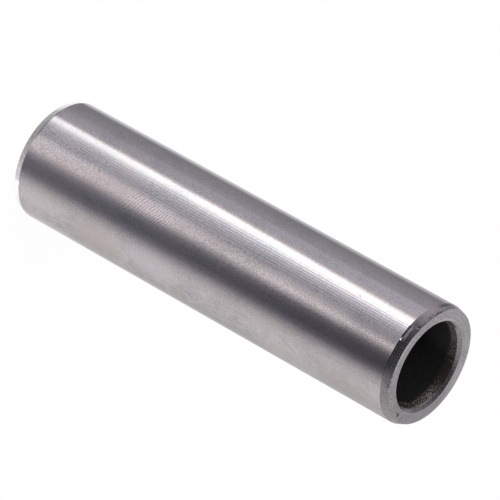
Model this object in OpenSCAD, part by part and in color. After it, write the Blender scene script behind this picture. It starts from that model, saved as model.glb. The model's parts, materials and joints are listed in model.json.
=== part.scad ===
// Gudgeon pin: a hollow hardened steel pin that joins a piston to the small end of its connecting rod.
// It is one turned and ground piece, standing on its lower end face with the axis along +Z.
// The origin is the centre of the lower end face. All sizes are in millimetres.

/* [Barrel] */
// Outside diameter of the ground barrel
pin_d = 13; // [12:0.1:20]
// Overall length, from end face to end face
pin_length = 50; // [20:0.5:120]

/* [Bore] */
// Diameter of the bore that lightens the pin
bore_d = 9.3; // [4:0.1:10.4]
// Depth of the chamfer at each mouth of the bore
mouth_chamfer = 0.35; // [0.15:0.05:0.8]
// Angle between the mouth chamfer and the axis
mouth_angle = 45; // [25:1:55]

/* [End chamfers] */
// Length along the axis of the lead-in chamfer at each end of the barrel
chamfer_length = 0.75; // [0.4:0.05:1.5]
// Angle between the lead-in chamfer and the axis
chamfer_angle = 20; // [15:1:40]
// Radius that breaks the two edges of each lead-in chamfer
edge_radius = 0.3; // [0.05:0.05:0.4]

/* [Hidden] */
$fn = 96;
pin_r = pin_d / 2;
bore_r = bore_d / 2;
face_r = pin_r - chamfer_length * tan(chamfer_angle);
mouth_r = bore_r + mouth_chamfer * tan(mouth_angle);
// Small angle at which the arc on an edge meets the surfaces beside it
edge_meet_angle = 5;

function unit(v) = v / norm(v);

// Area to cut away outside the arc that breaks a convex corner of the section
module corner_break(before, corner, after, radius) {
  side_in = unit(before - corner);
  side_out = unit(after - corner);
  half_angle = acos(side_in * side_out) / 2;
  depth = radius * cos(edge_meet_angle);
  centre = corner + unit(side_in + side_out) * depth / sin(half_angle);
  reach = depth / tan(half_angle);
  edge_points = [corner + side_in * reach, corner, corner + side_out * reach];
  difference() {
    polygon(concat([centre], [for (p = edge_points) centre + 3 * (p - centre)]));
    translate(centre) circle(r = radius);
  }
}

// Section of the wall from the lower end face to mid-length, with x as radius and y as height
module lower_half_section() {
  mouth_edge = [mouth_r, 0];
  face_edge = [face_r, 0];
  barrel_edge = [pin_r, chamfer_length];
  barrel_middle = [pin_r, pin_length / 2];
  bore_middle = [bore_r, pin_length / 2];
  bore_edge = [bore_r, mouth_chamfer];
  difference() {
    polygon([mouth_edge, face_edge, barrel_edge, barrel_middle, bore_middle, bore_edge]);
    corner_break(mouth_edge, face_edge, barrel_edge, edge_radius);
    corner_break(face_edge, barrel_edge, barrel_middle, edge_radius);
  }
}

module gudgeon_pin() {
  color("silver")
    rotate_extrude() {
      lower_half_section();
      translate([0, pin_length]) mirror([0, 1]) lower_half_section();
    }
}

gudgeon_pin();
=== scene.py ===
import json
import math

import bpy
import numpy as np
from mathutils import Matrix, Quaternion, Vector


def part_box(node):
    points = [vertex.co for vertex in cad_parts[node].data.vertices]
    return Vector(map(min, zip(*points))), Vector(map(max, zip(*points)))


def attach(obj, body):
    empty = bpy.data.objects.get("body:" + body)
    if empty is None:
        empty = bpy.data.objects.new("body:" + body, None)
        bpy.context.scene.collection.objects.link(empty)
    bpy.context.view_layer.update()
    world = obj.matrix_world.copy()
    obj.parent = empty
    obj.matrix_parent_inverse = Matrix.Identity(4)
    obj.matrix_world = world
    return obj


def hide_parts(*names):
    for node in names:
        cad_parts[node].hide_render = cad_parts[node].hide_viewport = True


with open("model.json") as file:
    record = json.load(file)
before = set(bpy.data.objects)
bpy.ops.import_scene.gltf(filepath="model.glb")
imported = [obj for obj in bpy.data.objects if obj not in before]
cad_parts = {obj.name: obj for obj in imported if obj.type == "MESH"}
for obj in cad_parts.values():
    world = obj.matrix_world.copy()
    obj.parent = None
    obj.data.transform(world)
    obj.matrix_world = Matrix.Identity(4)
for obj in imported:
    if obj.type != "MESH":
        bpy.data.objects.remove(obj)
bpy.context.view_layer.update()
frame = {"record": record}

# Sizes of the pin in millimetres
MM = 0.001
mount_sizes = {m["name"]: m["dims"] for m in frame["record"]["mounts"]}
low_corner, high_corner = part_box("gudgeon_pin")
PIN_R = mount_sizes["barrel"]["r_mm"]
BORE_R = mount_sizes["bore"]["r_mm"]
LENGTH = (high_corner.z - low_corner.z) / MM
CHAMFER_LENGTH = 0.75
CHAMFER_ANGLE = math.radians(20)
MOUTH_CHAMFER = 0.35
EDGE_R = 0.3
FACE_EDGE_R = 0.13
MOUTH_EDGE_R = 0.06
FACE_R = PIN_R - CHAMFER_LENGTH * math.tan(CHAMFER_ANGLE)
MOUTH_R = BORE_R + MOUTH_CHAMFER
SEGMENTS = 576

# Shader maths


class Field:
    """A shader socket. Arithmetic on it adds the nodes that work it out."""

    def __init__(self, tree, socket=None):
        self.tree = tree
        self.socket = socket

    def node(self, kind, settings=None, inputs=None, out=0):
        made = self.tree.nodes.new("ShaderNode" + kind)
        for name, value in (settings or {}).items():
            setattr(made, name, value)
        for name, value in (inputs or {}).items():
            if isinstance(value, Field):
                self.tree.links.new(value.socket, made.inputs[name])
            else:
                made.inputs[name].default_value = value
        return Field(self.tree, made.outputs[out] if made.outputs else None)

    def other(self, out):
        """Another output of the node that this one comes from."""
        return Field(self.tree, self.socket.node.outputs[out])

    def math(self, operation, first, second=0.0):
        return self.node("Math", {"operation": operation}, {0: first, 1: second})

    def __add__(self, other):
        return self.math("ADD", self, other)

    __radd__ = __add__

    def __sub__(self, other):
        return self.math("SUBTRACT", self, other)

    def __rsub__(self, other):
        return self.math("SUBTRACT", other, self)

    def __mul__(self, other):
        return self.math("MULTIPLY", self, other)

    __rmul__ = __mul__

    def root(self):
        return self.math("SQRT", self)

    def most(self, other):
        return self.math("MAXIMUM", self, other)

    def least(self, other):
        return self.math("MINIMUM", self, other)

    def rise(self, low, high):
        """0 below low, 1 above high, with a smooth step between."""
        ends = {0: self, 1: low, 2: high}
        return self.node("MapRange", {"interpolation_type": "SMOOTHSTEP"}, ends)

    def stretch(self, x, y, z):
        """This vector with its parts multiplied."""
        return self.node("VectorMath", {"operation": "MULTIPLY"}, {0: self, 1: (x, y, z)})

    def noise(self, detail, roughness):
        """Noise of about unit grain at this vector, from 0 to 1."""
        values = {"Vector": self, "Scale": 1.0, "Detail": detail, "Roughness": roughness}
        return self.node("TexNoise", None, values)

    def between(self, low_colour, high_colour):
        """A colour that goes from one to the other as this value goes from 0 to 1."""
        ends = {0: self, 6: low_colour, 7: high_colour}
        return self.node("Mix", {"data_type": "RGBA"}, ends, 2)

    def window(self, low, high, soft):
        """1 between low and high and 0 outside, with soft edges."""
        return self.rise(low - soft, low + soft) * (1 - self.rise(high - soft, high + soft))

    def near(self, point, reach):
        """1 at a point, for a vector in millimetres, and 0 beyond its reach."""
        gap = self.node("VectorMath", {"operation": "DISTANCE"}, {0: self, 1: point}, 1)
        return 1 - gap.rise(reach * 0.35, reach)


def smooth_step(value, low, high):
    share = np.clip((value - low) / (high - low), 0, 1)
    return share * share * (3 - 2 * share)


def grey(value, warm=0.0):
    """A colour of that brightness, a little to the red or, below 0, to the blue."""
    return (value * (1 + warm), value, value * (1 - warm), 1.0)


def steel_grey(value, warm=0.0):
    """Bare steel of that brightness, with the faint violet of its skin."""
    return (value * 1.015 * (1 + warm), value * 0.955, value * 1.02 * (1 - warm), 1.0)


def new_material(name):
    material = bpy.data.materials.new(name)
    material.use_nodes = True
    material.node_tree.nodes.clear()
    return material, Field(material.node_tree)


def surface_places(field):
    """Place on the pin and height on it in millimetres, and degrees round it from the front line."""
    place = field.node("TexCoord", None, None, 3).stretch(1 / MM, 1 / MM, 1 / MM)
    x = place.node("SeparateXYZ", None, {0: place})
    angle = x.math("ARCTAN2", x * -1, x.other(1) * -1)
    return place, x.other(2), angle * (180 / math.pi)


def from_axis(place):
    """Distance from the pin's axis in millimetres."""
    x = place.node("SeparateXYZ", None, {0: place})
    y = x.other(1)
    return (x * x + y * y).root()


def near_half(z):
    """1 on the half of the pin with the near end, and 0 on the other."""
    return z.rise(LENGTH / 2 - 1, LENGTH / 2 + 1)


def finish(field, colour, roughness, height, settings):
    """Closes a material, with a bump whose height is in millimetres."""
    bump = field.node("Bump", None, {"Height": height, "Distance": MM, "Strength": 1.0})
    values = {"Base Color": colour, "Roughness": roughness, "Normal": bump}
    values.update(settings)
    shader = field.node("BsdfPrincipled", None, values)
    field.node("OutputMaterial", None, {"Surface": shader})


def on_pin(angle, radius, height):
    """The point at that angle from the front line, counted towards -X, in millimetres."""
    turn = math.radians(angle)
    return (-radius * math.sin(turn), -radius * math.cos(turn), height)


def spots(place, marks):
    """Soft round spots added up. Each is (angle, radius, height, reach, weight)."""
    total = 0.0
    for angle, radius, height, reach, weight in marks:
        total = total + place.near(on_pin(angle, radius, height), reach) * weight
    return total


# Finishes


def ground_steel():
    """The barrel: crisp lines along it from grinding, fine sparkle, and faint ripples and clouds, with
    painted glints, painted shade and highlight in a few zones, and a painted dark reflection line at the
    far rim.
    """
    material, field = new_material("ground_steel")
    place, z, degrees = surface_places(field)

    # Noise at several scales
    arcs = place.stretch(0.25, 0.25, 3.0).noise(3.0, 0.6) - 0.5
    grain = place.stretch(8.5, 8.5, 8.5).noise(0.0, 0.5) - 0.5
    mottle = place.stretch(1.8, 1.8, 1.2).noise(2.0, 0.5) - 0.5
    cloud = place.stretch(0.2, 0.2, 0.16).noise(3.0, 0.55) - 0.5
    slow = place.stretch(0.5, 0.5, 0.06).noise(1.0, 0.5)
    bend = place.stretch(0.6, 0.6, 0.6).noise(2.0, 0.5)
    tone = place.stretch(0.8, 0.8, 0.6).noise(1.0, 0.5)
    specks = grain.rise(0.1, 0.25)

    # Zones of the barrel
    band = degrees.rise(-11, -4) * (1 - (degrees + z * 0.16).rise(9, 15))
    band = band + degrees.window(-125, -85, 12) * 0.6 + degrees.window(150, 175, 8) * 0.6
    lower = degrees.window(-90, -46, 6)
    strip = degrees.window(25, 32, 2)
    # Darker low on the middle of the barrel: painted shade.
    low_painted_shade = degrees.window(-95, -70, 6) * z.window(10, 36, 4)
    # Along the front line's reflected warm band: painted highlight from 32 to 43 mm up, painted shade at
    # 24.5 to 28 and 44 to 48 mm.
    front_band_painted_light = z.window(32, 43, 1) - z.window(24.5, 28, 1) * 0.4 - z.window(44, 48, 1) * 0.3
    front_band_painted_light = front_band_painted_light * degrees.window(-6, 8, 3)

    # Lines along the barrel
    lines_round = 147
    wave = field.math("SINE", degrees * math.radians(lines_round) + slow * 2.5 + 2.6)
    lined = degrees.window(10.5, 25, 1.5) + degrees.window(35, 46, 1.0) * (z * 0.009 + 0.3)
    lined = lined + degrees.window(105, 130, 6) + degrees.window(-165, -130, 8)
    lines = wave * lined * (place.stretch(1.2, 1.2, 0.05).noise(1.0, 0.5) + 0.4)
    line_rise = z.rise(0, 18)

    # Broken arcs across it, and ripples
    strokes_round = 58
    stroke = field.math("SINE", z * 18 - degrees * math.radians(strokes_round) + bend * 14)
    stroke = stroke.rise(-0.2, 1.0) * 1.6 - 0.7
    stroked = degrees.window(-9, 10, 3) * z.window(14.5, 20, 2.5)
    stroked = stroked + degrees.window(150, 175, 8) * z.window(20, 40, 5)
    broken = (mottle * 3.5 + 1).most(0.1)
    ripple = field.math("SINE", z * 17 + bend * 12)
    rippled = degrees.window(-48, -26, 6) * z.window(-5, 26, 3) * (cloud * 3 + 0.5)
    rippled = rippled + degrees.window(-125, -85, 12) * 0.5
    rings = stroke * stroked * broken * 2.3 + ripple * rippled * 0.4

    # Bump and shade of the bare steel
    height = arcs * 0.0012 + grain * (band * 0.004 + 0.001) + rings * 0.0004
    height = height + lines * (line_rise * 0.0006 + 0.0006)
    crisp = (1.2 - z * 0.003) * (1 - strip * 0.4) * (1 - lower * 0.15)
    grained = grain * crisp * (band * 0.75 + lined * 0.3 + 0.4)
    shade = arcs * 0.1 + grained + specks * band * 0.2 + mottle * (lower * 0.3 + 0.12)
    shade = shade + cloud * (lower * 0.25 + 0.25)
    shade = shade + lines * (line_rise * 0.08 + 0.05) * (1 - strip * 0.3)
    shade = shade + rings * 0.14 + stroked * 0.17 - low_painted_shade * 0.2 + front_band_painted_light * 0.13 + 0.5
    level = shade.rise(0.3, 0.7)
    cool = level.between(steel_grey(0.47, -0.009), steel_grey(0.73, -0.009))
    warm = level.between(steel_grey(0.47, 0.009), steel_grey(0.73, 0.009))
    colour = tone.rise(0.35, 0.65).between(cool, warm)

    # Painted glints, a painted dark reflection line at the far rim, stains and dirt
    arc_glint = stroke.most(0.0) * stroked * broken * 0.45
    line_glint = specks * band * z.window(29, 44, 2) * 0.55
    colour = arc_glint.most(line_glint).least(1.0).between(colour, steel_grey(0.95))
    # A dark line along the far rim's edge beside the bright strip: painted dark reflection.
    far_rim_dark_reflection = degrees.window(6, 42, 4) * z.window(0.7, 0.9, 0.03)
    colour = (far_rim_dark_reflection * 0.7).between(colour, steel_grey(0.12))
    stretched = place.stretch(1.0, 1.0, 0.5)
    blush = spots(stretched, [(-55, PIN_R, 5.8, 2.4, 0.8), (-60, PIN_R, 22.5, 3.0, 0.5)])
    blush = blush + cloud.rise(0.03, 0.14) * 0.4
    colour = blush.least(1.0).between(colour, steel_grey(0.56, 0.05))
    pale = spots(stretched, [(-45, PIN_R, 9.5, 2.2, 0.6), (-42, PIN_R, 1.5, 2.0, 0.4)])
    colour = pale.between(colour, steel_grey(0.68, -0.01))
    dots = [
        (25.0, PIN_R, 42.7, 0.13, 0.6),
        (-37.0, PIN_R, 48.1, 0.15, 0.25),
        (-37.4, PIN_R, 48.3, 0.15, 0.35),
        (-37.7, PIN_R, 48.5, 0.13, 0.25),
        (-22.9, PIN_R, 1.0, 0.13, 0.4),
    ]
    dashes = [(20.3, PIN_R, 0.53, 0.11, 0.45), (18.0, PIN_R, 0.89, 0.11, 0.45)]
    dirt = spots(place, dots) + spots(place.stretch(1.0, 1.0, 0.4), dashes)
    colour = dirt.between(colour, steel_grey(0.2))

    roughness = cloud * 0.05 + 0.105
    finish(field, colour, roughness, height, {"Metallic": 1.0})
    return material


def turned_chamfer():
    """The lead-in chamfers: turning rings, bright specks, a few stains and dark lines, and painted
    highlights and painted shadow and reflection lines at their edges.
    """
    material, field = new_material("turned_chamfer")
    place, z, degrees = surface_places(field)
    top = near_half(z)
    below = z.least(LENGTH - z)

    # Rings, grain and the teeth of a comb of short marks
    slow = place.stretch(0.5, 0.5, 0.5).noise(2.0, 0.6)
    rings = field.node("CombineXYZ", None, {0: below * 9.0, 1: slow * 2.5}).noise(3.0, 0.65)
    grain = place.stretch(4.5, 4.5, 4.5).noise(3.0, 0.6)
    specks = place.stretch(7.5, 7.5, 7.5).noise(1.0, 0.5).rise(0.58, 0.68)
    specks = specks * (1 - below.rise(0.1, 0.6))
    teeth_round = 255
    comb = field.math("SINE", degrees * math.radians(teeth_round) + slow * 6)
    comb = comb * degrees.window(-66, -38, 5) * top
    height = rings * 0.005 + grain * 0.002
    shade = rings * 0.45 + grain * 0.55
    shade = shade + comb * 0.1 * (1 - below.rise(0.3, 0.6))
    colour = shade.rise(0.36, 0.64).between(steel_grey(0.42), steel_grey(0.62))

    # Stains and dirt, a lighter band, a painted dark reflection line and painted highlights along the
    # face edge, painted light on the far rim, and a dark smudge
    stain = degrees.window(41, 62, 5) * top * grain.rise(0.36, 0.6)
    colour = (stain * 0.75).between(colour, (0.50, 0.37, 0.36, 1.0))
    # A lighter, less metallic band across the middle of the chamfer beside the burr line.
    lighter_matte_band = degrees.window(11, 25, 3) * top * below.window(0.46, 0.62, 0.06) * 0.2
    colour = lighter_matte_band.between(colour, (0.5, 0.45, 0.47, 1.0))
    dirt = degrees.window(44, 60, 5) * top * below.window(0.02, 0.3, 0.08) * grain.rise(0.5, 0.6)
    colour = (dirt * 0.85).between(colour, (0.035, 0.025, 0.022, 1.0))
    # A dark line along the face edge: painted dark reflection.
    face_edge_dark_reflection = degrees.window(50, 61, 3) * top * below.window(-0.02, 0.1, 0.04)
    colour = (face_edge_dark_reflection * 0.4).between(colour, (0.06, 0.045, 0.05, 1.0))
    glint = degrees.window(68, 103, 5) * top * (1 - below.rise(0.02, 0.09))
    colour = (glint * 0.8).between(colour, steel_grey(0.92))
    # Lighter on the far end's chamfer at two sides: painted light, as from the floor.
    polish_and_painted_light = (degrees.window(-85, -38, 5) + degrees.window(44, 85, 6)) * (1 - top)
    colour = (polish_and_painted_light * 0.85).between(colour, steel_grey(0.95))
    smudge = degrees.window(63, 74, 4) * top * below.window(0.47, 0.63, 0.08)
    colour = (smudge * 0.8).between(colour, (0.08, 0.07, 0.08, 1.0))

    # Dark dots, a hooked nick, a painted shadow line beside the burr, and a painted glint on the burr
    pepper = place.stretch(6.5, 6.5, 6.5).noise(0.0, 0.5).rise(0.56, 0.66)
    pepper = pepper * degrees.window(-42, -27, 4) * top * below.window(0.08, 0.5, 0.08)
    hook = (below + (degrees - 28.6) * 0.08).window(0.17, 0.23, 0.03)
    hook = hook * degrees.window(26.5, 31, 0.7) * top
    colour = (pepper * 0.6).most(hook * 0.8).between(colour, steel_grey(0.1))
    # A dark red line beside the burr: painted shadow.
    burr_shadow_line = degrees.window(11.5, 23.5, 1.5) * top * below.window(0.67, 0.79, 0.03)
    colour = (burr_shadow_line * 0.75).between(colour, (0.14, 0.05, 0.045, 1.0))
    # A white, less metallic spot on the burr: painted glint.
    burr_glint_marks = [
        (8.7, PIN_R - 0.03, LENGTH - 0.71, 0.11, 1.0),
        (10.6, PIN_R - 0.04, LENGTH - 0.69, 0.08, 0.6),
    ]
    burr = spots(place, burr_glint_marks).least(1.0)
    colour = burr.between(colour, grey(0.95))

    sparks = place.stretch(6.0, 6.0, 6.0).noise(1.0, 0.5).rise(0.5, 0.6)
    sparks = sparks * degrees.window(-44, -8, 4) * top * (1 - below.rise(0.03, 0.16))
    dull = (burr + lighter_matte_band + sparks * 0.25).least(1.0)
    roughness = slow * 0.08 + grain * 0.08 + specks * 0.15 + 0.13
    finish(field, colour, roughness, height, {"Metallic": 1 - dull})
    return material


def faced_end():
    """The flat end faces: dull, with fine rings and a mottled grain."""
    material, field = new_material("faced_end")
    place, z, degrees = surface_places(field)
    radius = from_axis(place)
    top = near_half(z)
    slow = place.stretch(0.45, 0.45, 0.45).noise(2.0, 0.6)
    rings = field.node("CombineXYZ", None, {0: radius * 8.0, 1: slow * 2.5}).noise(2.0, 0.6)
    grain = place.stretch(3.6, 3.6, 3.6).noise(3.0, 0.6)
    height = rings * 0.004 + grain * 0.01
    fine = place.stretch(7.0, 7.0, 7.0).noise(0.0, 0.5)
    shade = rings * 0.25 + grain * 0.35 + slow * 0.15 + fine * 0.25
    colour = shade.rise(0.4, 0.6).between(steel_grey(0.37, 0.008), steel_grey(0.62, 0.004))
    # Darker near the mouth from 106 to 165 degrees: painted shade.
    mouth_side_painted_shade = degrees.window(106, 165, 10) * (1 - radius.rise(5.15, 5.5)) * top * 0.3
    colour = mouth_side_painted_shade.between(colour, steel_grey(0.34, 0.006))
    bright = spots(place, [(62, 5.8, LENGTH, 8.0, 0.4), (157, 5.8, LENGTH, 3.6, 0.5)])
    # Lighter, more polished steel for the face's bright patches.
    polish_and_painted_light = shade.rise(0.4, 0.6).between(steel_grey(0.52), steel_grey(0.77))
    colour = bright.between(colour, polish_and_painted_light)
    dull = place.near(on_pin(-112.0, 5.6, LENGTH), 6.0) * 0.4
    colour = dull.between(colour, steel_grey(0.395, 0.05))
    # A bright line on the mouth's edge: painted glint.
    lip_glint = degrees.window(56, 86, 6) * radius.window(5.02, 5.2, 0.06) * top
    colour = (lip_glint * 0.6).between(colour, steel_grey(0.8))
    pits = [
        (-81.6, 5.64, LENGTH, 0.3, 1.0),
        (-91.4, 5.68, LENGTH, 0.15, 0.7),
        (-77.5, 5.58, LENGTH, 0.13, 1.0),
        (-89.7, 6.02, LENGTH, 0.14, 0.6),
        (146.8, 5.69, LENGTH, 0.12, 0.5),
    ]
    pitted = spots(place, pits).least(1.0) * 0.9
    colour = pitted.between(colour, (0.09, 0.08, 0.08, 1.0))
    roughness = grain * 0.14 + 0.34
    finish(field, colour, roughness, height, {"Metallic": 1.0})
    return material


def reamed_mouth():
    """The small chamfer at each mouth of the bore, with short marks across it."""
    material, field = new_material("reamed_mouth")
    place, z, degrees = surface_places(field)
    radius = from_axis(place)
    top = near_half(z)
    strokes = place.stretch(4.5, 4.5, 0.5).noise(2.0, 0.6)
    grain = place.stretch(4.5, 4.5, 4.5).noise(3.0, 0.6)
    height = strokes * 0.012 + grain * 0.008
    shade = strokes * 0.6 + grain * 0.4 - 0.5
    shade = shade * (1 - degrees.window(80, 130, 8) * 0.6) + 0.5
    colour = shade.rise(0.36, 0.64).between(steel_grey(0.37), steel_grey(0.57))
    # Dark on the mouth chamfer's inner part from 82 to 105 degrees: painted shadow.
    mouth_painted_shadow = degrees.window(82, 105, 6) * top * (1 - radius.rise(4.74, 4.9))
    colour = mouth_painted_shadow.between(colour, (0.07, 0.062, 0.055, 1.0))
    torn = degrees.window(-152, -106, 8) * top * (1 - radius.rise(4.8, 5.0))
    torn = torn * strokes.rise(0.52, 0.62)
    colour = (torn * 0.7).between(colour, (0.1, 0.085, 0.085, 1.0))
    roughness = grain * 0.1 + 0.18
    finish(field, colour, roughness, height, {"Metallic": 1.0})
    return material


def scaled_bore():
    """The bore: black scale from hardening, with a band scraped brown just inside each mouth."""
    material, field = new_material("scaled_bore")
    place, z, degrees = surface_places(field)
    depth = z.least(LENGTH - z)
    strokes = place.stretch(5.5, 5.5, 1.0).noise(3.0, 0.65)
    mottle = place.stretch(5.0, 5.0, 5.0).noise(3.0, 0.6)
    slow = place.stretch(0.5, 0.5, 0.2).noise(1.0, 0.5)
    top = near_half(z)
    corner = place.near(on_pin(-103.0, BORE_R, LENGTH - 1.5), 1.6)
    right = degrees.window(78, 140, 8)
    soft_band = 1 - (depth + strokes * 0.7 - corner * 0.7).rise(1.25, 1.95)
    clear_band = 1 - (depth + strokes * 0.4).rise(1.28, 1.53)
    band = soft_band + (clear_band - soft_band) * right
    bare = strokes * 0.35 + mottle * 0.65 + slow * 0.2
    patches = [
        (122, BORE_R, LENGTH - 0.5, 1.8, 0.1),
        (96, BORE_R, LENGTH - 0.8, 1.3, 0.07),
        (-108, BORE_R, LENGTH - 0.8, 1.6, -0.05),
        (-130, BORE_R, LENGTH - 0.75, 2.0, -0.05),
        (-168, BORE_R, LENGTH - 0.75, 2.0, -0.06),
        (171, BORE_R, LENGTH - 0.7, 1.7, -0.09),
        (-146, BORE_R, LENGTH - 0.6, 1.2, 0.04),
    ]
    bare = bare + spots(place, patches)
    scale = mottle.rise(0.35, 0.65).between((0.012, 0.012, 0.012, 1.0), (0.017, 0.016, 0.016, 1.0))
    paler = place.near(on_pin(120.0, BORE_R, LENGTH - 2.2), 3.5)
    scale = paler.between(scale, (0.034, 0.031, 0.031, 1.0))
    scraped = right.between((0.21, 0.172, 0.166, 1.0), (0.195, 0.178, 0.158, 1.0))
    brown = bare.rise(0.52, 0.76).between((0.026, 0.022, 0.019, 1.0), scraped)
    rusty = degrees.window(-162, -112, 8) * top
    dots = place.stretch(6.5, 6.5, 6.5).noise(0.0, 0.5)
    brown = (dots.rise(0.56, 0.66) * rusty * 0.45).between(brown, (0.42, 0.36, 0.35, 1.0))
    brown = ((1 - dots.rise(0.36, 0.46)) * rusty * 0.8).between(brown, (0.02, 0.016, 0.014, 1.0))
    rim = degrees.window(-155, -104, 8) * top * (1 - depth.rise(0.42, 0.56))
    brown = (rim * 0.6).between(brown, (0.26, 0.23, 0.24, 1.0))
    colour = band.between(scale, brown)
    height = mottle * 0.02 + strokes * 0.03
    roughness = mottle * 0.2 + 0.6
    finish(field, colour, roughness, height, {"Metallic": 0.0, "Specular IOR Level": 0.12})
    return material


# The pin's mesh


def rounded(before, corner, after, radius, steps):
    """Points of the arc that rounds a corner of the section."""
    corner = np.array(corner)
    side_in = np.array(before) - corner
    side_out = np.array(after) - corner
    side_in = side_in / np.linalg.norm(side_in)
    side_out = side_out / np.linalg.norm(side_out)
    half = math.acos(float(side_in @ side_out)) / 2
    reach = radius / math.tan(half)
    middle = side_in + side_out
    centre = corner + middle / np.linalg.norm(middle) * radius / math.sin(half)
    first = corner + side_in * reach - centre
    last = corner + side_out * reach - centre
    spread = math.pi - 2 * half
    points = []
    for i in range(steps + 1):
        share = i / steps
        a = math.sin((1 - share) * spread) / math.sin(spread)
        b = math.sin(share * spread) / math.sin(spread)
        points.append(tuple(centre + a * first + b * last))
    return points


def run(start, end, steps):
    """Points between two points of the section, without either."""
    start = np.array(start)
    step = (np.array(end) - start) / steps
    return [tuple(start + step * i) for i in range(1, steps)]


def end_section():
    """Half of the wall's section, from mid-bore round one end to mid-barrel.

    Points are (radius, distance below the end face). Each has the finish of the strip that follows it.
    """
    bore_middle = (BORE_R, LENGTH / 2)
    bore_edge = (BORE_R, MOUTH_CHAMFER)
    mouth_edge = (MOUTH_R, 0.0)
    face_edge = (FACE_R, 0.0)
    barrel_edge = (PIN_R, CHAMFER_LENGTH)
    barrel_middle = (PIN_R, LENGTH / 2)
    bore_lip = rounded(bore_middle, bore_edge, mouth_edge, MOUTH_EDGE_R, 2)
    face_lip = rounded(bore_edge, mouth_edge, face_edge, MOUTH_EDGE_R, 2)
    face_arc = rounded(mouth_edge, face_edge, barrel_edge, FACE_EDGE_R, 8)
    barrel_arc = rounded(face_edge, barrel_edge, barrel_middle, EDGE_R, 4)
    section = []

    def add(points, finish):
        section.extend((point, finish) for point in points)

    bore_depths = (25, 16, 10, 7, 5, 3.8, 3, 2.4, 2, 1.6, 1.3, 1.05, 0.85, 0.68, 0.54)
    barrel_depths = (0.86, 0.93, 1.02, 1.15, 1.35, 1.7, 2.5, 5, 10, 17)
    add([(BORE_R, d) for d in bore_depths], "scaled_bore")
    add(bore_lip, "reamed_mouth")
    add(run(bore_lip[-1], face_lip[0], 7), "reamed_mouth")
    add(face_lip[:-1], "reamed_mouth")
    add(face_lip[-1:], "faced_end")
    add(run(face_lip[-1], face_arc[0], 18), "faced_end")
    add(face_arc[:2], "faced_end")
    add(face_arc[2:], "turned_chamfer")
    add(run(face_arc[-1], barrel_arc[0], 11), "turned_chamfer")
    add(barrel_arc[:-2], "turned_chamfer")
    add(barrel_arc[-2:], "ground_steel")
    add([(PIN_R, d) for d in barrel_depths], "ground_steel")
    return section


def dents(points, marks):
    """Moves points in or out at each mark: (from, to, half width, depth), in millimetres."""
    moved = np.array(points)
    for start, end, width, depth in marks:
        start = np.array(start)
        end = np.array(end)
        along = end - start
        share = ((points - start) @ along) / max(float(along @ along), 1e-9)
        nearest = start + np.clip(share, 0, 1)[:, None] * along
        gap = np.linalg.norm(points - nearest, axis=1) / width
        weight = np.clip(1 - gap * gap, 0, 1) ** 2
        to_middle = np.sign(LENGTH / 2 - points[:, 2]) * 5
        towards = np.stack([-points[:, 0], -points[:, 1], to_middle], 1)
        towards = towards / np.linalg.norm(towards, axis=1)[:, None]
        moved = moved + towards * (weight * depth)[:, None]
    return moved


def small_damage():
    """Nicks, pits and a burr on the edges of the two ends."""
    top = LENGTH
    edge = PIN_R - 0.02
    marks = [
        (on_pin(22.5, edge, top - 0.72), on_pin(11.5, edge, top - 0.72), 0.09, 0.035),
        (on_pin(8.4, PIN_R - 0.05, top - 0.68), on_pin(9.2, PIN_R - 0.04, top - 0.74), 0.1, -0.03),
        (on_pin(27.1, 6.34, top - 0.31), on_pin(30.2, 6.17, top - 0.06), 0.1, 0.07),
        (on_pin(-9.5, 6.1, top), on_pin(-10.2, 6.1, top), 0.12, 0.06),
        (on_pin(-25.8, 6.1, top), on_pin(-27.0, 6.1, top), 0.13, 0.06),
        (on_pin(-81.6, 5.64, top), on_pin(-82.5, 5.68, top), 0.17, 0.1),
        (on_pin(-91.4, 5.68, top), on_pin(-89.7, 5.62, top), 0.13, 0.07),
        (on_pin(-77.5, 5.56, top), on_pin(-76.6, 5.54, top), 0.1, 0.05),
        (on_pin(-89.7, 6.02, top), on_pin(-91.0, 5.9, top), 0.12, 0.05),
        (on_pin(134.5, BORE_R, top - 0.36), on_pin(135.5, BORE_R + 0.1, top - 0.25), 0.14, 0.08),
        (on_pin(65.5, 6.42, top - 0.53), on_pin(72.0, 6.45, top - 0.62), 0.1, 0.02),
        (on_pin(-150.0, edge, 0.74), on_pin(-146.0, edge, 0.74), 0.12, 0.05),
        (on_pin(35.0, 6.06, 0.0), on_pin(36.5, 6.06, 0.0), 0.14, 0.06),
        (on_pin(100.0, 5.5, 0.0), on_pin(101.5, 5.55, 0.0), 0.14, 0.07),
        (on_pin(-40.0, edge, 0.74), on_pin(-38.0, edge, 0.74), 0.1, 0.04),
    ]
    return marks


def out_of_true(points):
    """Shifts the edges of the near face, where its two chamfers were turned wider or narrower."""
    angle = np.arctan2(-points[:, 0], -points[:, 1])
    radius = np.hypot(points[:, 0], points[:, 1])
    depth = LENGTH - points[:, 2]

    def towards(middle, power):
        return ((1 + np.cos(angle - math.radians(middle))) / 2) ** power

    rise = np.clip(1 - depth / CHAMFER_LENGTH, 0, 1)
    shifts = [(0.08, 68, 16), (0.1, 114, 8), (-0.05, -128, 5), (-0.49, 8, 4)]
    outer_edge = sum(amount * towards(middle, power) for amount, middle, power in shifts)
    outer_edge = outer_edge * rise * smooth_step(radius, 5.2, 6.0)
    mouth_rise = np.clip(1 - depth / MOUTH_CHAMFER, 0, 1)
    mouth_edge = -0.09 * towards(3, 6) * mouth_rise * (1 - smooth_step(radius, 5.0, 5.5))
    moved = np.array(points)
    moved[:, :2] *= (1 + (outer_edge + mouth_edge) / radius)[:, None]
    return moved


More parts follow.
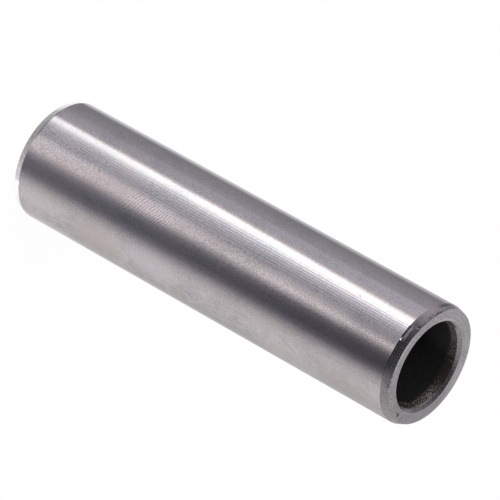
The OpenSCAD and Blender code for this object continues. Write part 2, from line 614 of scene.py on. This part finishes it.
def build_pin():
    """The pin as one mesh: its section turned round the axis, with a finish for each strip."""
    half = end_section()
    top = [((r, LENGTH - d), finish) for (r, d), finish in half]
    low_points = [(r, d) for (r, d), finish in half[1:]]
    low_finish = [finish for point, finish in half]
    loop = top + [((PIN_R, LENGTH / 2), "ground_steel")]
    for i in range(len(low_points) - 1, -1, -1):
        loop.append((low_points[i], low_finish[i]))
    section = np.array([point for point, finish in loop])
    finishes = [finish for point, finish in loop]
    count = len(section)
    turn = np.linspace(0, 2 * math.pi, SEGMENTS, endpoint=False)
    x = -np.outer(np.sin(turn), section[:, 0])
    y = -np.outer(np.cos(turn), section[:, 0])
    z = np.tile(section[:, 1], (SEGMENTS, 1))
    points = np.stack([x, y, z], 2).reshape(-1, 3)
    points = out_of_true(dents(points, small_damage()))
    i, j = np.meshgrid(np.arange(SEGMENTS), np.arange(count), indexing="ij")
    after_i = (i + 1) % SEGMENTS
    after_j = (j + 1) % count
    corners = [i * count + j, i * count + after_j, after_i * count + after_j, after_i * count + j]
    faces = np.stack(corners, 2).reshape(-1, 4)
    mesh = bpy.data.meshes.new("gudgeon_pin_steel")
    mesh.from_pydata((points * MM).tolist(), [], faces.tolist())
    makers = [ground_steel, turned_chamfer, faced_end, reamed_mouth, scaled_bore]
    for maker in makers:
        mesh.materials.append(maker())
    names = [material.name for material in mesh.materials]
    strip = np.array([names.index(finish) for finish in finishes])
    mesh.polygons.foreach_set("material_index", np.tile(strip, SEGMENTS).astype(np.int32))
    mesh.polygons.foreach_set("use_smooth", np.ones(len(faces), dtype=bool))
    mesh.update()
    pin = bpy.data.objects.new("gudgeon_pin_steel", mesh)
    bpy.context.collection.objects.link(pin)
    return pin


pin = build_pin()
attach(pin, "root")
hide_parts("gudgeon_pin")

# Stage


def add_stage(name, points, faces, material):
    mesh = bpy.data.meshes.new(name)
    mesh.from_pydata(points, [], faces)
    mesh.materials.append(material)
    thing = bpy.data.objects.new(name, mesh)
    bpy.context.collection.objects.link(thing)
    return thing


def floor_paper():
    """White paper that keeps a faint shadow."""
    material, field = new_material("floor_paper")
    paper = field.node("BsdfDiffuse", None, {"Color": grey(0.9)})
    glow = field.node("Emission", None, {"Color": grey(1.0), "Strength": 1.0})
    glow_share = 0.96
    seen = field.node("LightPath") * glow_share
    shader = field.node("MixShader", None, {0: seen, 1: paper, 2: glow})
    field.node("OutputMaterial", None, {"Surface": shader})
    return material


def tent_cloth():
    """Cloth that shines with the colour painted on it."""
    material, field = new_material("tent_cloth")
    paint = field.node("VertexColor", {"layer_name": "paint"})
    glow = field.node("Emission", None, {"Color": paint, "Strength": 1.0})
    field.node("OutputMaterial", None, {"Surface": glow})
    material.cycles.emission_sampling = "NONE"
    return material


# Light round the pin as its surfaces see it, by the turn in degrees from the camera's side towards -X

PLAIN = (1.0, 1.0, 1.0)
WHITE = (0.985, 1.025, 0.985)
ROSE = (1.045, 0.99, 0.968)
BLUSH = (1.025, 1.003, 0.975)
LILAC = (0.988, 0.982, 1.028)
BLUE = (0.99, 0.98, 1.045)
PEACH = (1.05, 0.985, 0.965)
SLATE = (0.96, 0.97, 1.07)
VIOLET = (0.975, 0.945, 1.08)
MAUVE = (1.0, 0.95, 1.05)

# What the barrel sees: turn and glow for its near end, the same for its far end, and the tint
BARREL_LIGHT = [
    (-180, 0.5, -180, 0.75, PLAIN),
    (-130, 0.61, -130, 0.63, BLUSH),
    (-95, 0.72, -95, 0.75, BLUSH),
    (-78, 0.69, -78, 0.72, BLUSH),
    (-66, 0.56, -66, 0.58, BLUSH),
    (-48, 0.16, -48, 0.23, VIOLET),
    (-38, 0.085, -38, 0.165, SLATE),
    (-26, 0.095, -26, 0.19, SLATE),
    (-16, 0.16, -16, 0.31, MAUVE),
    (-8, 0.45, -8, 0.57, ROSE),
    (-1, 0.8, -2, 0.77, ROSE),
    (5, 0.5, 16, 0.84, ROSE),
    (12, 0.43, 22, 0.58, LILAC),
    (23, 0.44, 28, 0.53, LILAC),
    (32, 0.68, 36, 0.58, LILAC),
    (40, 1.05, 45, 0.72, LILAC),
    (45.5, 1.6, 51, 0.96, WHITE),
    (51, 1.85, 57, 1.45, WHITE),
    (56.7, 1.7, 63.5, 1.6, WHITE),
    (60.5, 1.12, 66.2, 1.02, PEACH),
    (64, 0.62, 69.5, 0.55, BLUSH),
    (74, 0.57, 76, 0.5, BLUE),
    (91, 0.56, 91, 0.445, BLUE),
    (93.5, 0.44, 95, 0.4, LILAC),
    (110, 0.37, 110, 0.34, LILAC),
    (136, 0.27, 136, 0.29, LILAC),
    (142, 0.38, 142, 0.46, LILAC),
    (151, 0.57, 151, 0.72, PLAIN),
    (180, 0.54, 180, 0.78, PLAIN),
]

# What the lead-in chamfer sees: turn, glow and tint
CHAMFER_LIGHT = [
    (-180, 0.52, PLAIN),
    (-123, 0.52, BLUSH),
    (-89, 0.45, BLUSH),
    (-78, 0.44, BLUSH),
    (-66, 0.37, PLAIN),
    (-55, 0.26, PLAIN),
    (-43, 0.07, SLATE),
    (-30, 0.03, SLATE),
    (-15, 0.028, VIOLET),
    (0, 0.037, VIOLET),
    (16, 0.064, VIOLET),
    (32, 0.1, VIOLET),
    (46, 0.15, VIOLET),
    (59, 0.22, VIOLET),
    (70, 0.36, LILAC),
    (81, 0.54, LILAC),
    (91, 0.62, LILAC),
    (101, 0.47, LILAC),
    (112, 0.32, LILAC),
    (122, 0.27, LILAC),
    (134, 0.31, LILAC),
    (145, 0.43, LILAC),
    (157, 0.56, PLAIN),
    (180, 0.52, PLAIN),
]

# What the chamfer of the far end sees low down: turn, glow and tint
FLOOR_LIGHT = [
    (-180, 0.92, WHITE),
    (-150, 0.95, WHITE),
    (-132, 1.1, WHITE),
    (-113, 1.55, WHITE),
    (-90, 1.75, WHITE),
    (-66, 1.02, WHITE),
    (-40, 0.92, WHITE),
    (0, 0.7, WHITE),
    (40, 0.58, WHITE),
    (66, 0.6, WHITE),
    (90, 0.74, WHITE),
    (113, 0.85, WHITE),
    (133, 0.78, WHITE),
    (150, 1.08, WHITE),
    (180, 0.92, WHITE),
]

# What the flat face and the chamfer at the mouth see: turn, glow and tint
MOUTH_LIGHT = [
    (-180, 0.66, PLAIN),
    (-155, 0.44, PLAIN),
    (-95, 0.44, PLAIN),
    (-69, 0.33, PLAIN),
    (-49, 0.17, SLATE),
    (-28, 0.07, SLATE),
    (-10, 0.04, SLATE),
    (40, 0.045, SLATE),
    (70, 0.1, VIOLET),
    (90, 0.17, VIOLET),
    (118, 0.26, LILAC),
    (135, 0.36, PLAIN),
    (155, 0.55, PLAIN),
    (180, 0.66, PLAIN),
]


def light_round(turns, stops):
    """Colours round one level of the tent, from stops of (turn, glow, tint)."""
    at = [turn for turn, glow, tint in stops]
    colours = np.array([[glow * part for part in tint] for turn, glow, tint in stops])
    return np.stack([np.interp(turns, at, colours[:, part]) for part in range(3)], 1)


def barrel_stops(share):
    """Stops of the barrel's light, from those of its near end at 0 to those of its far end at 1.

    On the way the bright strip grows whiter, and its upper edge bends.
    """
    bend = 1.5 * np.clip(share * (1 - share), 0, 1)
    stops = []
    for near_turn, near_glow, far_turn, far_glow, tint in BARREL_LIGHT:
        turn_share = share + bend if 55 < near_turn < 75 else share
        turn = near_turn + (far_turn - near_turn) * turn_share
        glow = near_glow + (far_glow - near_glow) * share
        if 50 < near_turn < 58:
            glow = glow * (1 + bend * 0.25)
        stops.append((turn, glow, tint))
    return stops


def tent_paint(turns, heights):
    """Colour of the tent by turn in degrees and height in millimetres, in rows from floor to ceiling."""
    near_level = -7.0
    far_level = -57.0
    ceiling_glow = 0.9
    floor_middle_glow = 0.55
    chamfer_rows = (5.0, 35.0)
    mouth_rows = (85.0, 120.0)
    ceiling_rows = (330.0, 400.0)
    floor_rows = (68.0, 95.0)
    ring_depth = 10.0
    floor = light_round(turns, FLOOR_LIGHT)
    chamfer = light_round(turns, CHAMFER_LIGHT)
    mouth = light_round(turns, MOUTH_LIGHT)
    from_front = np.abs(turns)
    ring_limit = (1.35 - 0.5 * smooth_step(from_front, 90.0, 115.0))[:, None]
    ring_top = 146 - 26 * smooth_step(from_front, 115.0, 130.0)
    lift = (85 * (1 - smooth_step(from_front, 40.0, 110.0)))[:, None]
    rows = []
    for height in heights:
        share = np.clip((near_level - height) / (near_level - far_level), -0.3, 1.3)
        row = light_round(turns, barrel_stops(share))
        row = row + (chamfer - row) * smooth_step(height, *chamfer_rows)
        row = row + (mouth - row) * smooth_step(height - lift, *mouth_rows)
        row = row + (ceiling_glow - row) * smooth_step(height, *ceiling_rows)
        ring = smooth_step(-height - ring_top, 0.0, ring_depth)[:, None]
        low = floor + (np.minimum(floor, ring_limit) - floor) * ring
        row = row + (low - row) * smooth_step(-height, *floor_rows)
        rows.append(row)
    rows[0] = np.full_like(rows[0], floor_middle_glow)
    return np.array(rows)


def light_tent():
    """A tent round the pin that only its reflections see, with the light and dark sides of a room."""
    radius = 100.0
    middle = 1.0
    floor_level = -160.0
    ceiling_level = 420.0
    turns = np.linspace(-180, 180, 721)
    walls = np.linspace(floor_level, ceiling_level, 117)
    heights = np.concatenate([[floor_level], walls, [ceiling_level]])
    reach = np.concatenate([[middle], np.full(len(walls), radius), [middle]])
    paint = tent_paint(turns, heights)
    angle = np.radians(turns)
    x = -np.outer(reach, np.sin(angle))
    y = -np.outer(reach, np.cos(angle))
    z = np.outer(heights, np.ones(len(turns)))
    places = np.stack([x, y, z], 2) * MM
    rows, columns = x.shape
    i, j = np.meshgrid(np.arange(rows - 1), np.arange(columns - 1), indexing="ij")
    corners = [i * columns + j, i * columns + j + 1, (i + 1) * columns + j + 1, (i + 1) * columns + j]
    faces = np.stack(corners, 2).reshape(-1, 4)
    tent = add_stage("light_tent", places.reshape(-1, 3).tolist(), faces.tolist(), tent_cloth())
    layer = tent.data.color_attributes.new("paint", "FLOAT_COLOR", "POINT")
    colours = np.concatenate([paint, np.ones((rows, columns, 1))], 2)
    layer.data.foreach_set("color", colours.astype(np.float32).ravel())
    for ray in ("camera", "diffuse", "transmission", "volume_scatter", "shadow"):
        setattr(tent, "visible_" + ray, False)
    return tent


def studio():
    """Floor, tent, white surroundings, and one soft lamp."""
    side = 2.5
    corners = [(-side, -side, 0), (side, -side, 0), (side, side, 0), (-side, side, 0)]
    floor = add_stage("floor", corners, [(0, 1, 2, 3)], floor_paper())
    floor.visible_glossy = False
    light_tent()
    world = bpy.data.worlds.new("white_room")
    bpy.context.scene.world = world
    world.use_nodes = True
    world.node_tree.nodes.clear()
    field = Field(world.node_tree)
    path = field.node("LightPath")
    shown = path.most(path.other("Is Glossy Ray")).most(path.other("Is Transmission Ray"))
    white = field.node("Background", None, {"Color": grey(1.0), "Strength": 1.0})
    fill = field.node("Background", None, {"Color": grey(1.0), "Strength": 0.75})
    sky = field.node("MixShader", None, {0: shown, 1: fill, 2: white})
    field.node("OutputWorld", None, {"Surface": sky})
    world.cycles.sampling_method = "NONE"
    lamp = bpy.data.lights.new("soft_overhead", "AREA")
    lamp.shape = "DISK"
    lamp.size = 0.6
    lamp.energy = 3.0
    holder = bpy.data.objects.new("soft_overhead", lamp)
    holder.location = (-0.25, -0.2, 0.6)
    lamp_aim = Vector((0, 0, 0.02))
    holder.rotation_euler = (lamp_aim - holder.location).to_track_quat("-Z", "Y").to_euler()
    holder.visible_glossy = False
    bpy.context.collection.objects.link(holder)


def photo_camera():
    """The photograph's view: from above the near end, rolled so the pin lies across the picture."""
    roll = math.radians(119.175)
    place = Vector((0.0, -447.789, 299.815)) * MM
    aim = Vector((-1.4459, -0.0047, 25.604)) * MM
    data = bpy.data.cameras.new("photo_camera")
    data.sensor_width = 36.0
    data.lens = 378.894
    data.clip_start = 0.01
    camera = bpy.data.objects.new("photo_camera", data)
    camera.location = place
    camera.rotation_mode = "QUATERNION"
    upright = (aim - place).to_track_quat("-Z", "Y")
    camera.rotation_quaternion = upright @ Quaternion((0, 0, 1), roll)
    bpy.context.collection.objects.link(camera)
    bpy.context.scene.camera = camera


photo_camera()
studio()
bpy.context.scene.view_settings.view_transform = "Standard"
